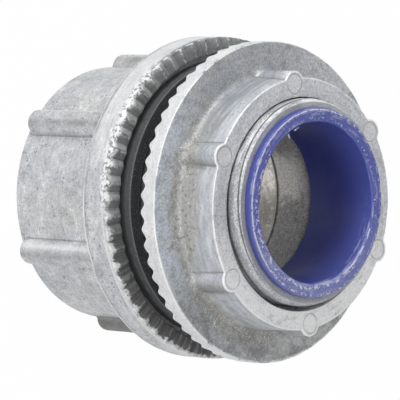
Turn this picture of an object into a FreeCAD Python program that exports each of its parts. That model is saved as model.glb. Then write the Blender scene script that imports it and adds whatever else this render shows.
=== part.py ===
"""A die-cast conduit hub with its sealing ring, lock nut and insulating throat liner.

The hub stands on the end of its socket. The way through for the wires runs along Z, and the
nipple points up. Every size is in millimetres and every angle in degrees.
"""
import FreeCAD, Part
import math
import os
from FreeCAD import Vector

# Nipple: its outside, over the thread, sets the trade size of the whole hub
nipple_r = 16.45
nipple_length = 19.0
nipple_wall = 2.43
nipple_tip_chamfer = 0.55
nipple_tip_height = 1.0

# Socket: takes the end of a threaded conduit of the same trade size
socket_thread_allowance = 0.25
thread_depth = 1.1
socket_wall = 4.2
socket_length = 22.0
socket_edge_round = 1.0
mouth_widening = 0.3
thread_relief_length = 5.4

# Ribs that a wrench holds, spaced evenly round the socket
rib_count = 6
rib_r = 2.2
rib_axis_inset = 0.05
rib_setback = 0.9
rib_nose_round = 1.2
rib_start_angle = -3.5

# Flange, with radial teeth that bite the outside of the box wall
flange_step = 5.15
flange_thickness = 6.2
flange_edge_round = 0.5
flange_root_round = 1.0
flange_tooth_count = 60
flange_tooth_height = 1.0
flange_tooth_inner_height = 0.35
flange_tooth_band = 2.6
flange_tooth_seat = 0.4

# Rubber ring that lies in the flange's recess
recess_depth = 2.0
ring_thickness = 2.9
ring_gap_outside = 1.1
ring_gap_inside = 0.15
ring_edge_round = 0.35
ring_groove_width = 0.9
ring_groove_depth = 0.35
ring_groove_inset = 2.0

# Throat: the smooth way from the socket to the liner
throat_step = 0.55
throat_widening = 0.7
throat_end_below_recess = 0.6

# Liner pressed into the nipple's end
liner_wall = 1.25
liner_depth = 12.6
liner_rim_inset = 1.4
liner_rim_height = 1.25
liner_rim_round = 0.35
liner_mouth_round = 0.6
liner_seat_clearance = 0.02

# Lock nut, shown part of the way down the nipple, with the gap for the box wall under it
wall_gap = 5.8
running_clearance = 0.05
bore_chamfer = 0.5
boss_wall = 3.5
boss_height = 7.15
boss_widening = 0.4
boss_root_round = 0.9
boss_edge_round = 0.3
nut_ledge = 5.7
nut_flange_thickness = 3.15
nut_edge_round = 0.35
nut_tooth_count = 60
nut_tooth_height = 0.8
nut_tooth_land = 0.5
nut_tooth_band = 3.8
nut_recess_under_teeth = 0.1

# Lugs round the nut's boss, each with the round mark of an ejector pin on its end
lug_count = 6
lug_r = 2.1
lug_axis_inset = 0.9
lug_edge_round = 0.3
lug_start_angle = 6.8
ejector_mark_r = 1.65
ejector_mark_depth = 0.12

# How far a rib or lug runs on inside the piece that it grows from
fuse_depth = 0.5

# Radii that follow
nut_bore_r = nipple_r + running_clearance
liner_seat_r = nipple_r - nipple_wall
liner_outer_r = liner_seat_r - liner_seat_clearance
liner_bore_r = liner_outer_r - liner_wall
liner_rim_r = nipple_r - liner_rim_inset
throat_r = liner_bore_r + throat_step
throat_end_r = throat_r + throat_widening
thread_major_r = nipple_r + socket_thread_allowance
thread_minor_r = thread_major_r - thread_depth
mouth_r = thread_major_r + mouth_widening
socket_r = thread_major_r + socket_wall
flange_r = socket_r + flange_step
recess_r = flange_r - flange_tooth_band
ring_outer_r = recess_r - ring_gap_outside
ring_inner_r = nipple_r + ring_gap_inside
boss_r = nut_bore_r + boss_wall
nut_r = boss_r + nut_ledge
nut_recess_r = nut_r - nut_tooth_band

# Heights that follow, upwards from the end of the socket
flange_rear = socket_length
tooth_peak = flange_rear + flange_thickness
tooth_seat = tooth_peak - flange_tooth_height - flange_tooth_seat
recess_floor = tooth_peak - recess_depth
ring_front = recess_floor + ring_thickness
throat_end = recess_floor - throat_end_below_recess
shoulder = throat_end - (thread_major_r - throat_end_r)
thread_end = shoulder - thread_relief_length
mouth_depth = mouth_r - thread_minor_r
nipple_end = tooth_peak + nipple_length
liner_seat = nipple_end - liner_depth
liner_top = nipple_end + liner_rim_height
nut_back = ring_front + wall_gap
nut_recess = nut_back + nut_tooth_height + nut_recess_under_teeth
nut_front = nut_back + nut_flange_thickness
boss_front = nut_front + boss_height

ORIGIN = Vector(0, 0, 0)
UP = Vector(0, 0, 1)
LARGEST_SHARE_OF_SIDE = 0.48


def rounded_corner(before, corner, after, radius):
    """Start, middle and end of the arc that rounds one corner of an outline."""
    back = before - corner
    ahead = after - corner
    half = back.getAngle(ahead) / 2
    reach = min(radius / math.tan(half), LARGEST_SHARE_OF_SIDE * min(back.Length, ahead.Length))
    back.normalize()
    ahead.normalize()
    inwards = back + ahead
    inwards.normalize()
    fitted = reach * math.tan(half)
    centre = corner + inwards * (fitted / math.sin(half))
    return corner + back * reach, centre - inwards * fitted, corner + ahead * reach


def turned(corners):
    """A solid of revolution about Z. Each corner is (radius, height) or (radius, height, rounding)."""
    points = [Vector(c[0], 0, c[1]) for c in corners]
    arcs = []
    for i, corner in enumerate(corners):
        arc = (points[i], None, points[i])
        if len(corner) == 3:
            arc = rounded_corner(points[i - 1], points[i], points[(i + 1) % len(points)], corner[2])
        arcs.append(arc)
    edges = []
    for i, (start, middle, end) in enumerate(arcs):
        if middle is not None:
            edges.append(Part.Arc(start, middle, end).toShape())
        edges.append(Part.makeLine(end, arcs[(i + 1) % len(arcs)][0]))
    return Part.Face(Part.Wire(edges)).revolve(ORIGIN, UP, 360)


def on_circle(radius, angle, height):
    """The point at a radius, an angle in degrees and a height."""
    turn = math.radians(angle)
    return Vector(radius * math.cos(turn), radius * math.sin(turn), height)


def around(count, start_angle):
    """The angles of a pattern that is spaced evenly round the axis."""
    return [start_angle + 360.0 * i / count for i in range(count)]


def radial_teeth(count, inner_r, outer_r, base, peak, inner_height, outer_height):
    """A ring of V teeth with level ridges. Their grooves rise inwards, so each flank is two triangles."""
    near = inner_r - fuse_depth
    far = outer_r + fuse_depth
    slope = (outer_height - inner_height) / (outer_r - inner_r)
    near_fall = inner_height - slope * fuse_depth
    far_fall = outer_height + slope * fuse_depth
    half_pitch = 180.0 / count
    sections = []
    for i in range(2 * count):
        groove = i % 2
        ray = i * half_pitch
        sections.append([
            on_circle(near, ray, base),
            on_circle(far, ray, base),
            on_circle(far, ray, peak - groove * far_fall),
            on_circle(near, ray, peak - groove * near_fall),
        ])
    faces = []
    for i, there in enumerate(sections):
        here = sections[i - 1]
        outlines = [(here[a], here[b], there[b], there[a]) for a, b in ((0, 1), (1, 2), (3, 0))]
        if i % 2:
            outlines += [(here[2], here[3], there[3]), (here[2], there[3], there[2])]
        else:
            outlines += [(here[2], here[3], there[2]), (here[3], there[3], there[2])]
        faces += [Part.Face(Part.makePolygon([*outline, outline[0]])) for outline in outlines]
    crown = Part.makeSolid(Part.makeShell(faces))
    tube = turned([(inner_r, base), (outer_r, base), (outer_r, peak + 1), (inner_r, peak + 1)])
    return crown.common(tube)


def rod(radius, axis_r, angle, low, high, low_round, high_round):
    """An upright half-buried rod with rounded ends, the form of a cast rib or lug."""
    shape = turned([(0, low), (radius, low, low_round), (radius, high, high_round), (0, high)])
    shape.translate(on_circle(axis_r, angle, 0))
    return shape


def hub_casting():
    """The turned form of the hub: socket, flange with its recess, nipple and the way through."""
    return turned([
        (mouth_r, 0),
        (thread_minor_r, mouth_depth),
        (thread_minor_r, thread_end),
        (thread_major_r, thread_end),
        (thread_major_r, shoulder),
        (throat_end_r, throat_end),
        (throat_r, liner_seat),
        (liner_seat_r, liner_seat),
        (liner_seat_r, nipple_end),
        (nipple_r - nipple_tip_chamfer, nipple_end),
        (nipple_r, nipple_end - nipple_tip_height),
        (nipple_r, recess_floor),
        (recess_r, recess_floor),
        (recess_r, tooth_seat),
        (flange_r, tooth_seat),
        (flange_r, flange_rear, flange_edge_round),
        (socket_r, flange_rear, flange_root_round),
        (socket_r, 0, socket_edge_round),
    ])


def hub_body():
    """The whole die casting: the turned form, its teeth and its ribs."""
    teeth = radial_teeth(
        flange_tooth_count, recess_r, flange_r, tooth_seat, tooth_peak, flange_tooth_inner_height, flange_tooth_height
    )
    ribs = [
        rod(rib_r, socket_r - rib_axis_inset, angle, rib_setback, flange_rear + fuse_depth, rib_nose_round, 0.1)
        for angle in around(rib_count, rib_start_angle)
    ]
    return hub_casting().fuse([teeth] + ribs).removeSplitter()


def sealing_ring():
    """The rubber ring: round-edged, with a shallow groove in its face."""
    groove_outer = ring_outer_r - ring_groove_inset
    groove_inner = groove_outer - ring_groove_width
    groove_floor = ring_front - ring_groove_depth
    return turned([
        (ring_inner_r, recess_floor),
        (ring_outer_r, recess_floor),
        (ring_outer_r, ring_front, ring_edge_round),
        (groove_outer, ring_front),
        (groove_outer - ring_groove_depth, groove_floor),
        (groove_inner + ring_groove_depth, groove_floor),
        (groove_inner, ring_front),
        (ring_inner_r, ring_front, ring_edge_round),
    ])


def throat_liner():
    """The plastic liner: a thin sleeve with a rounded rim that covers the nipple's end."""
    return turned([
        (liner_bore_r, liner_seat),
        (liner_outer_r, liner_seat),
        (liner_outer_r, nipple_end),
        (liner_rim_r, nipple_end),
        (liner_rim_r, liner_top, liner_rim_round),
        (liner_bore_r, liner_top, liner_mouth_round),
    ])


def nut_casting():
    """The turned form of the lock nut: toothed ring blank, flange and boss."""
    return turned([
        (nut_bore_r + bore_chamfer, nut_recess),
        (nut_recess_r, nut_recess),
        (nut_recess_r, nut_back),
        (nut_r, nut_back),
        (nut_r, nut_front, nut_edge_round),
        (boss_r + boss_widening, nut_front, boss_root_round),
        (boss_r, boss_front, boss_edge_round),
        (nut_bore_r + bore_chamfer, boss_front),
        (nut_bore_r, boss_front - bore_chamfer),
        (nut_bore_r, nut_recess + bore_chamfer),
    ])


def nut_grooves():
    """Round-bottomed grooves between the nut's teeth, each a cone that widens outwards."""
    pitch = 2 * math.pi * nut_r / nut_tooth_count
    half_width = (pitch - nut_tooth_land) / 2
    groove_r = (half_width ** 2 + nut_tooth_height ** 2) / (2 * nut_tooth_height)
    axis_height = nut_back + nut_tooth_height - groove_r
    near = nut_recess_r - fuse_depth
    far = nut_r + fuse_depth
    grooves = []
    for angle in around(nut_tooth_count, 0.0):
        outwards = on_circle(1, angle, 0)
        tip = on_circle(near, angle, axis_height)
        grooves.append(Part.makeCone(groove_r * near / nut_r, groove_r * far / nut_r, far - near, tip, outwards))
    return grooves


def lock_nut():
    """The whole nut: the turned form with lugs round its boss, grooves in its back, marks on its lugs."""
    lug_axis_r = boss_r - lug_axis_inset
    angles = around(lug_count, lug_start_angle)
    lugs = [rod(lug_r, lug_axis_r, a, nut_front - fuse_depth, boss_front, 0.1, lug_edge_round) for a in angles]
    bore = Part.makeCylinder(nut_bore_r + bore_chamfer, boss_height, Vector(0, 0, nut_front))
    marks = [
        Part.makeCylinder(ejector_mark_r, 1, on_circle(lug_axis_r, a, boss_front - ejector_mark_depth))
        for a in angles
    ]
    trimmed = [lug.cut(bore) for lug in lugs]
    return nut_casting().fuse(trimmed).removeSplitter().cut(nut_grooves() + marks)


def main():
    """Build each piece and write it as a STEP file of its own."""
    os.makedirs("parts", exist_ok=True)
    pieces = {
        "hub_body": hub_body(),
        "sealing_ring": sealing_ring(),
        "lock_nut": lock_nut(),
        "throat_liner": throat_liner(),
    }
    for name, shape in pieces.items():
        solids = shape.Solids
        piece = solids[0] if len(solids) == 1 else shape
        piece.exportStep(f"parts/{name}.step")
        box = piece.optimalBoundingBox(False)
        print(f"{name}: {len(solids)} solid, valid {piece.isValid()}, volume {piece.Volume:.1f},"
              f" radius {box.XMax:.2f}, height {box.ZMin:.2f} to {box.ZMax:.2f}")
    print(f"thread bore {thread_minor_r:.2f} from {mouth_depth:.2f} to {thread_end:.2f}")
    print(f"liner bore {liner_bore_r:.2f} from {liner_seat:.2f} to {liner_top:.2f}")
    print(f"wall gap from {ring_front:.2f} to {nut_back:.2f}, nipple end {nipple_end:.2f}")


main()
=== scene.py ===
# %% [markdown]
# # A conduit hub
# A conduit hub brings a threaded pipe through the wall of an electrical box. This one is four pieces:
# a die-cast zinc hub, a rubber ring in its flange, a zinc lock nut on its nipple, and a blue plastic
# liner that keeps wires off the nipple's sharp end. The plain solids come from CAD, and this script
# dresses them: it builds each piece again as a fine mesh in the same place, and gives it a finish.

import bmesh
import bpy
import numpy as np
from mathutils import Matrix, Vector


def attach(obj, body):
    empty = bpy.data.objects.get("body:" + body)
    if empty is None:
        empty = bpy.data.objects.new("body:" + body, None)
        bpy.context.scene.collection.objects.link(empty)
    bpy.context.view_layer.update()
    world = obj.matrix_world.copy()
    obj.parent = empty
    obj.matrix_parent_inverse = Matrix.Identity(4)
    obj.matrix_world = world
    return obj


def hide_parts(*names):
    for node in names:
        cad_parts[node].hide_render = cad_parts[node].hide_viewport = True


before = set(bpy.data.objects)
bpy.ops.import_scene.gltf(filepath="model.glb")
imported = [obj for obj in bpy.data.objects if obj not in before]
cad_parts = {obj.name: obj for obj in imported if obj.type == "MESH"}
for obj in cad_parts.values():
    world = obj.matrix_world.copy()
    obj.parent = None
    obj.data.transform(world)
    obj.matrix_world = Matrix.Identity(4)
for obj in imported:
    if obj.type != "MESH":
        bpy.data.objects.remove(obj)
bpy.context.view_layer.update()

# %% [markdown]
# ## The camera
# The camera stands where a long lens saw the hub: about 57 cm away, 45 degrees above the socket's end,
# with the way through running to the right. A camera can be aimed with a Track To constraint, but here
# its three directions are known, so they go straight into its matrix as columns.

# %% Camera
camera_place = Vector((-0.019224, -0.398864, 0.427685))
camera_looks = Vector((0.0347, 0.70067, -0.71264)).normalized()
camera_right = camera_looks.cross(Vector((-0.99924, 0.0118, -0.03705))).normalized()
camera_up = camera_right.cross(camera_looks)

scene = bpy.context.scene
camera = bpy.data.objects.new("camera", bpy.data.cameras.new("camera"))
camera.matrix_world = Matrix((camera_right, camera_up, -camera_looks)).transposed().to_4x4()
camera.matrix_world.translation = camera_place
camera.data.lens = 315
scene.collection.objects.link(camera)
scene.camera = camera
print("camera stands", round(camera_place.length * 1000), "mm from the socket's centre")

# %% [markdown]
# ## Sizes
# These are the sizes of the CAD solids, in millimetres: radii from the axis, heights from the end of
# the socket. The meshes are made in millimetres too, and scaled to metres once, when they are finished.

# %% Sizes
MM = 0.001
mouth_r, minor_r, major_r, socket_r, flange_r = 17.0, 15.6, 16.7, 20.9, 26.05
recess_r, nipple_r, nipple_tip_r, liner_seat_r = 23.45, 16.45, 15.9, 14.02
throat_r, throat_end_r = 13.3, 14.0
thread_end, shoulder, throat_end, flange_rear = 17.5, 22.9, 25.6, 22.0
recess_floor, tooth_peak, ring_front = 26.2, 28.2, 29.1
liner_seat, nipple_end, liner_top = 34.6, 47.2, 48.45
nut_r, nut_recess_r, boss_r, nut_bore_r = 25.7, 21.9, 20.0, 16.5
nut_back, nut_recess, nut_front, boss_front = 34.9, 35.8, 38.05, 45.2
thread_pitch = 2.209
TEETH, LOBES, LOBE_TURN = 60, 6, 60
FINE, COARSE = 720, 240

# %% [markdown]
# ## Skins made of sheets
# A cast and turned part is a surface that goes once round an axis. It could be made with the Screw
# modifier, but teeth, ribs and threads break its symmetry. So each piece is a stack of rows: a row is a
# ring of points, a sheet is the squares between rows, and a strip joins a fine row to a coarse one.
# Sheets that share a row are merged at the end, which leaves one closed mesh.

# %% Rows and sheets


def row(radius, angle, height, shift=0.0):
    """A row of points from radii, degrees and heights, moved along X by shift."""
    radius, angle, height = np.broadcast_arrays(radius, np.radians(angle), height)
    return np.stack([radius * np.cos(angle) + shift, radius * np.sin(angle), height], -1)


def turned(outline, angle):
    """Rows round the axis through each point (radius, height) of an outline."""
    return [row(r, angle, z) for r, z in outline]


def round_angles(count, first):
    """Angles once round the axis. The last one closes the row on the first."""
    return first + np.linspace(0, 360, count + 1)


def arc(centre_r, centre_z, radius, start, end, steps):
    """Points (radius, height) along an arc between two angles in degrees."""
    turns = np.radians(np.linspace(start, end, steps + 1))
    return [(centre_r + radius * np.cos(t), centre_z + radius * np.sin(t)) for t in turns]


class Skin:
    """A closed surface gathered from sheets of points, in millimetres."""

    def __init__(self):
        self.points, self.faces, self.count = [], [], 0

    def keep(self, points):
        """Stores points and returns their numbers, in the same layout."""
        flat = np.asarray(points, float).reshape(-1, 3)
        numbers = self.count + np.arange(len(flat)).reshape(np.asarray(points).shape[:-1])
        self.points.append(flat)
        self.count += len(flat)
        return numbers

    def sheet(self, rows):
        """Squares between rows of one length."""
        n = self.keep(np.stack(rows))
        quads = np.stack([n[:-1, :-1], n[:-1, 1:], n[1:, 1:], n[1:, :-1]], -1)
        self.faces += quads.reshape(-1, 4).tolist()

    def strip(self, first, then):
        """Triangles from one row to the next, where one has three times as many points."""
        a, b = self.keep(first), self.keep(then)
        flip = len(a) < len(b)
        if flip:
            a, b = b, a
        for i in range(len(b) - 1):
            f = a[3 * i: 3 * i + 4]
            made = [(f[0], f[1], b[i]), (f[1], f[2], b[i]), (f[2], f[3], b[i + 1]), (f[2], b[i + 1], b[i])]
            self.faces += [t[::-1] if flip else t for t in made]


# %% [markdown]
# ## Ribs and lugs
# The hub's ribs and the nut's lugs are half-round rods on a round core. Their outline, seen along the
# axis, is the larger of the core's circle and the rod's circle, softened a little where they meet.
# Points are then spread evenly along it, so that the steep sides get their share.

# %% Outlines with round lobes
soften = 0.35


def lobed(core_r, lobe_r, axis_r, first_angle):
    """Radii and angles of a row round a core with six round lobes. Its first point is between two."""
    fine = np.linspace(-LOBE_TURN / 2, LOBE_TURN / 2, 2401)
    turn = np.radians(fine)
    reach = lobe_r ** 2 - (axis_r * np.sin(turn)) ** 2
    lobe = np.where(reach > 0, axis_r * np.cos(turn) + np.sqrt(np.maximum(reach, 0)), 0)
    outline = np.maximum(core_r, lobe)
    half = int(soften / (core_r * (turn[1] - turn[0]))) // 2
    window = np.hanning(2 * half + 3)[1:-1]
    outline = np.convolve(np.pad(outline, half, mode="edge"), window / window.sum(), "valid")
    steps = np.hypot(np.diff(outline), core_r * np.diff(turn))
    along = np.concatenate([[0], np.cumsum(steps)])
    even = np.linspace(0, along[-1], FINE // LOBES + 1)
    angle, radius = np.interp(even, along, fine), np.interp(even, along, outline)
    angles = [angle[:-1] + first_angle + LOBE_TURN * k for k in range(LOBES)] + [[first_angle + 330]]
    return np.concatenate([radius[:-1]] * LOBES + [radius[:1]]), np.concatenate(angles)


def rounding(depth, radius):
    """How far a quarter round of this radius stands back at this depth from its tangent end."""
    left = np.clip(radius - depth, 0, radius)
    return radius - np.sqrt(radius ** 2 - left ** 2)


def between(first, then, shares):
    """Rows part of the way from one row to another."""
    return [(1 - share) * first + share * then for share in shares]


# %% [markdown]
# ## Threads
# A thread is a helix, so its crest never lies along a level row. Level rows would chop the crest into
# steps. Here the rows climb by one pitch as they go once round, like the thread itself, and are held
# between two levels at the ends. The pitch is 2.209 mm, which is 11.5 turns to the inch.

# %% Threads
thread_steps = [(0.0, 0.0), (0.17, 0.0), (0.33, 0.48), (0.5, 1.0), (0.67, 1.0), (0.83, 0.48)]


def threaded(low, high, first_angle, start, radius_at):
    """Rows that climb a thread. radius_at turns share of depth and height into radius."""
    turn = np.linspace(0, 1, COARSE + 1)
    rows = []
    level = low - thread_pitch + (start - low) % thread_pitch - thread_pitch
    while level < high + thread_pitch:
        for place, share in thread_steps:
            height = np.clip(level + (place + turn) * thread_pitch, low, high)
            rows.append(row(radius_at(share, height), first_angle + 360 * turn, height))
        level += thread_pitch
    return rows


def ease(value, low, high):
    """0 below low, 1 above high, and a smooth climb between. Low may be the larger of the two."""
    share = np.clip((value - low) / (high - low), 0, 1)
    return share * share * (3 - 2 * share)


# %% [markdown]
# ## The hub casting, outside
# The rows start at the socket's mouth and go up the outside: the end face, the ribbed wall, the step
# out to the flange, and its rim. The rib ends are rounded at the free end and run out on the flange.

# %% Socket and flange wall
rng = np.random.default_rng(11)
hub = Skin()
rib_r, rib_axis_r, rib_first, rib_low, rib_round = 2.2, 20.85, -3.5, 0.9, 1.2
end_round, root_fillet, rear_round, strip_width = 1.0, 1.0, 0.32, 0.12
hub_first = -33.0
plain = round_angles(FINE, hub_first)


def socket_row(height, widen=0.0):
    """A row round the ribbed socket wall. Widen is the fillet at its root."""
    depth = height - rib_low
    shrink = rounding(depth, rib_round) if depth > 0 else rib_r
    core = socket_r + widen - rounding(height, end_round)
    radius, angle = lobed(core, rib_r - shrink + widen, rib_axis_r, rib_first)
    return row(radius, angle, height)


rows = [row(r, plain, 0.0) for r in (mouth_r + strip_width, 17.5, 18.2, 19.0)]
rows += turned(arc(socket_r - end_round, end_round, end_round, -90, -6, 7), plain)
for height in (0.901, 0.93, 1.0, 1.1, 1.25, 1.45, 1.7, 2.05, *np.linspace(2.6, 20.4, 24), 20.95):
    rows.append(socket_row(height))
for depth in (0.12, 0.3, 0.5, 0.75, 0.93, 1.0):
    rows.append(socket_row(flange_rear - root_fillet + depth, rounding(root_fillet - depth, root_fillet)))
rows += between(rows[-1], row(flange_r - rear_round, plain, flange_rear), (0.2, 0.4, 0.6, 0.8, 1.0))
rear_edge = arc(flange_r - rear_round, flange_rear + rear_round, rear_round, -90, 0, 4)
rows += turned(rear_edge[1:], plain)
hub.sheet(rows)
print("socket wall:", len(rows), "rows of", FINE, "points")

# %% [markdown]
# ## The flange's teeth
# Sixty V teeth bite the box wall. Twelve points go to each tooth, close together at the ridge so that it
# stays sharp, and no two teeth are quite alike: the castings come out of the mould with burrs and dents.
# The grooves rise inwards, so the teeth are highest at the rim, where they have also been knocked about.

# %% Flange teeth
tooth_places = np.array([0, 0.06, 0.16, 0.3, 0.42, 0.465, 0.5, 0.535, 0.58, 0.7, 0.84, 0.94])
tooth_drop = np.abs(tooth_places - 0.5) * 2
pitch_angle = 360 / TEETH
flat_ridge, inner_fall = 0.15, 0.35


def rough(spread, count=FINE, each=1):
    """A closed row of random numbers. Each is given to this many points."""
    values = np.repeat(spread * rng.standard_normal(count), each)
    return np.append(values, values[0])


def per_tooth(spread):
    """A closed row with one random number for each tooth, given to all its points."""
    return rough(spread, TEETH, len(tooth_places))


tooth_angle = (hub_first + pitch_angle * (np.arange(TEETH)[:, None] + tooth_places)).ravel()
tooth_angle = np.append(tooth_angle, hub_first + 360)
drop = np.append(np.tile(np.maximum(tooth_drop - flat_ridge, 0) / (1 - flat_ridge), TEETH), 1.0)
low_tooth = np.abs(per_tooth(0.06))
ridge = 1 - drop
burr = np.abs(per_tooth(0.5)) * np.exp(-(drop / 0.35) ** 2)
lean = per_tooth(0.16) * ridge


def tooth_row(radius, edge, roughness):
    """A row across the teeth at one radius: edge lowers it, as a worn or broken corner does."""
    inwards = (flange_r - radius) / (flange_r - recess_r)
    fall = drop * (1 - (1 - inner_fall) * inwards) + low_tooth * ridge
    height = tooth_peak - fall - edge * (0.55 + 0.7 * ridge + 0.5 * burr) + rough(roughness)
    return row(radius - np.abs(rough(roughness)), tooth_angle + lean, np.minimum(height, tooth_peak))


rows = rows[-1:] + [row(flange_r, plain, height) for height in (23.3, 24.2, 25.1, 26.0)]
rows += [row(flange_r, 0.5 * (plain + tooth_angle), 26.35), row(flange_r, tooth_angle, 26.6)]
worn_rows = ((26.02, 0.42, 0.03), (25.9, 0.3, 0.06), (25.75, 0.21, 0.07), (25.5, 0.12, 0.06),
             (25.2, 0.05, 0.04), (24.8, 0, 0.02), (24.4, 0, 0.015), (24.0, 0, 0.012), (23.7, 0, 0.012),
             (23.53, 0.02, 0.01), (recess_r, 0.1, 0.01))
rows += [tooth_row(*worn) for worn in worn_rows]
rows += between(rows[-1], row(recess_r, plain, recess_floor), (0.12, 0.5, 0.85, 1.0))
rows += [row(r, plain, recess_floor) for r in (23.3, 22.6, 21.8)]
hub.sheet(rows)
print(f"flange teeth: {TEETH}, up to", round(float(max(r[:, 2].max() for r in rows)), 2), "mm high")

# %% [markdown]
# ## The nipple
# Its thread shows between ring and nut, and as one thin dark line near its tip, where the thread runs
# out on the chamfer. So the depth fades away over the last turn, and the chamfer cuts what is left.

# %% Nipple, throat and socket thread
coarse = round_angles(COARSE, hub_first)
nipple_depth, socket_depth, socket_start, chamfer_start = 1.2, major_r - minor_r, 0.4, 46.2
throat_round, throat_widens, throat_length, relief_cone = 0.15, 0.7, 8.7, 2.7
groove_angle, groove_height, groove_middle = 225, 46.5, 0.585
groove_start = groove_height - (groove_middle + (groove_angle - hub_first) / 360) * thread_pitch
groove_phase = 0.5 - (groove_height / thread_pitch - (groove_angle - 360) / 360) % 1


def nipple_at(share, height):
    """Radius of the nipple's thread: shallow at both ends, cut by the chamfer at the tip."""
    chamfer = nipple_r - (nipple_r - nipple_tip_r) * np.clip(height - chamfer_start, 0, 1)
    fade = ease(height, 26.3, 28.6) * ease(height, 45.0, 43.6)
    return chamfer - nipple_depth * share * fade


def socket_at(share, height):
    """Radius of the socket's inner thread, opened at its mouth and at its far end."""
    wall = minor_r + socket_depth * np.maximum(share, ease(height, thread_end - 0.7, thread_end))
    return np.maximum(wall, mouth_r - height)


hub.strip(rows[-1], row(20.6, coarse, recess_floor))
hub.sheet([row(r, coarse, recess_floor) for r in (20.6, 18.5, nipple_r)])
hub.sheet(threaded(recess_floor, nipple_end, hub_first, groove_start, nipple_at))
inside = [(r, nipple_end) for r in (nipple_tip_r, 15.82, 15.6, 15.3, 14.9, liner_seat_r)]
inside += [(liner_seat_r, 41.0), (liner_seat_r, liner_seat), (throat_r + 0.1, liner_seat)]
inside += [(throat_r + throat_widens * s, liner_seat - throat_round - throat_length * s)
           for s in (0, 0.15, 0.3, 0.45, 0.6, 0.75, 0.9)]
inside += [(throat_end_r, throat_end + throat_round), (throat_end_r + throat_round, throat_end)]
inside += [(throat_end_r + d, throat_end - d) for d in relief_cone * np.array([0.2, 0.4, 0.6, 0.8, 0.95])]
inside += [(major_r, z) for z in (shoulder - 0.3, 21.5, 20.3, 19, 18, thread_end)]
hub.sheet(turned(inside, coarse))
hub.sheet(threaded(0, thread_end, hub_first, socket_start, socket_at)[::-1])
hub.strip(row(mouth_r, coarse, 0.0), row(mouth_r + strip_width, plain, 0.0))
print("hub casting:", hub.count, "points before merging")

# %% [markdown]
# ## The lock nut
# The nut is one casting too: a toothed ring with a boss, and six lugs that a screwdriver or a wrench
# pushes against. Its teeth are a smooth wave, not sharp V's. The lugs have fillets at their feet and
# the round mark of an ejector pin on their ends, which is pressed into the rows of the front face.

# %% Lock nut, outside
nut = Skin()
nut_first, lug_first, lug_axis_r, lug_r = -24.0, 6.8, 19.1, 2.1
wave_depth, wave_fall, nut_edge = 0.8, 1.15, 0.2
boss_height, boss_draft, boss_fillet, lug_fillet = 7.15, 0.4, 0.7, 1.0
nut_plain = round_angles(FINE, nut_first)
nut_coarse = round_angles(COARSE, nut_first)
wave = (0.5 + 0.5 * np.cos(np.radians(TEETH * nut_plain))) * (1 - np.abs(per_tooth(0.05)))


def wave_row(radius, lift=0.0):
    """A row across the wavy back of the nut. Its grooves grow deeper outwards."""
    depth = wave_depth - wave_fall * (1 - radius / nut_r)
    return row(radius, nut_plain, nut_back + depth * wave + lift)


def boss_row(height, shrink=0.0):
    """A row round the boss and its lugs, with fillets at the foot, shrunk by the round at the end."""
    depth = height - nut_front
    core = boss_r + boss_draft * (boss_front - height) / boss_height + rounding(depth, boss_fillet) - shrink
    radius, angle = lobed(core, lug_r + rounding(depth, lug_fillet) - shrink, lug_axis_r, lug_first)
    return row(radius, angle, height)


rows = [row(r, nut_plain, nut_recess) for r in (17.3, 18.5, 20.0, 21.3, nut_recess_r)]
rows += between(rows[-1], wave_row(nut_recess_r, 0.08), (0.5, 1.0))
rows += [wave_row(r) for r in (21.98, 22.5, 23.1, 23.8, 24.5, 25.1, 25.45)]
rows += [wave_row(25.62, 0.03), wave_row(nut_r, 0.13)]
rows += between(rows[-1], row(nut_r, nut_plain, 36.3), (0.3, 0.7, 1.0))
rows += [row(nut_r, nut_plain, z) for z in (36.8, 37.3)]
rows += turned(arc(nut_r - nut_edge, nut_front - nut_edge, nut_edge, 0, 90, 4), nut_plain)
rows += [row(r, nut_plain, nut_front) for r in (25.1, 24.5, 23.9, 23.4)]
rows += between(rows[-1], boss_row(nut_front), (0.3, 0.6, 0.85, 1.0))
rows += [boss_row(nut_front + d) for d in (0.04, 0.12, 0.25, 0.42, 0.62, 0.85, *np.linspace(1.2, 6.8, 11))]
for left in (nut_edge * (1 - s) for s in (0, 0.3, 0.6, 0.85, 1.0)):
    rows.append(boss_row(boss_front - left, rounding(left, nut_edge)))
print("lock nut:", len(rows), "rows up to the boss's front edge")

# %% Lock nut, front face and bore
sag, nut_mouth_r, nut_wall_r, disc_depth = 0.33, 16.93, nut_bore_r + 0.02, 0.1
nut_low, nut_high, nut_start, nut_depth = 36.3, 43.4, 0.2, 0.6


def from_lugs(points):
    """How far points are from the axis of the nearest lug."""
    turns = np.radians(lug_first + LOBE_TURN * np.arange(LOBES))
    ends = lug_axis_r * np.stack([np.cos(turns), np.sin(turns)], -1)
    return np.linalg.norm(points[:, None, :2] - ends, axis=-1).min(1)


face = between(rows[-1], row(nut_mouth_r + strip_width, nut_plain, boss_front), np.linspace(0, 1, 26)[1:])
for points in face:
    points[:, 2] -= disc_depth * ease(from_lugs(points), 1.75, 1.5)
rows = [points + (sag, 0, 0) for points in rows + face]
nut.sheet(rows)


def nut_at(share, height):
    """Radius of the nut's thread. It stays clear of the nipple, whose thread slides past it."""
    fade = ease(height, nut_low, nut_low + 1.2) * ease(height, nut_high, nut_high - 1.0)
    return nut_wall_r + 0.25 * ease(height, nut_high - 0.6, nut_high) + nut_depth * share * fade


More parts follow.
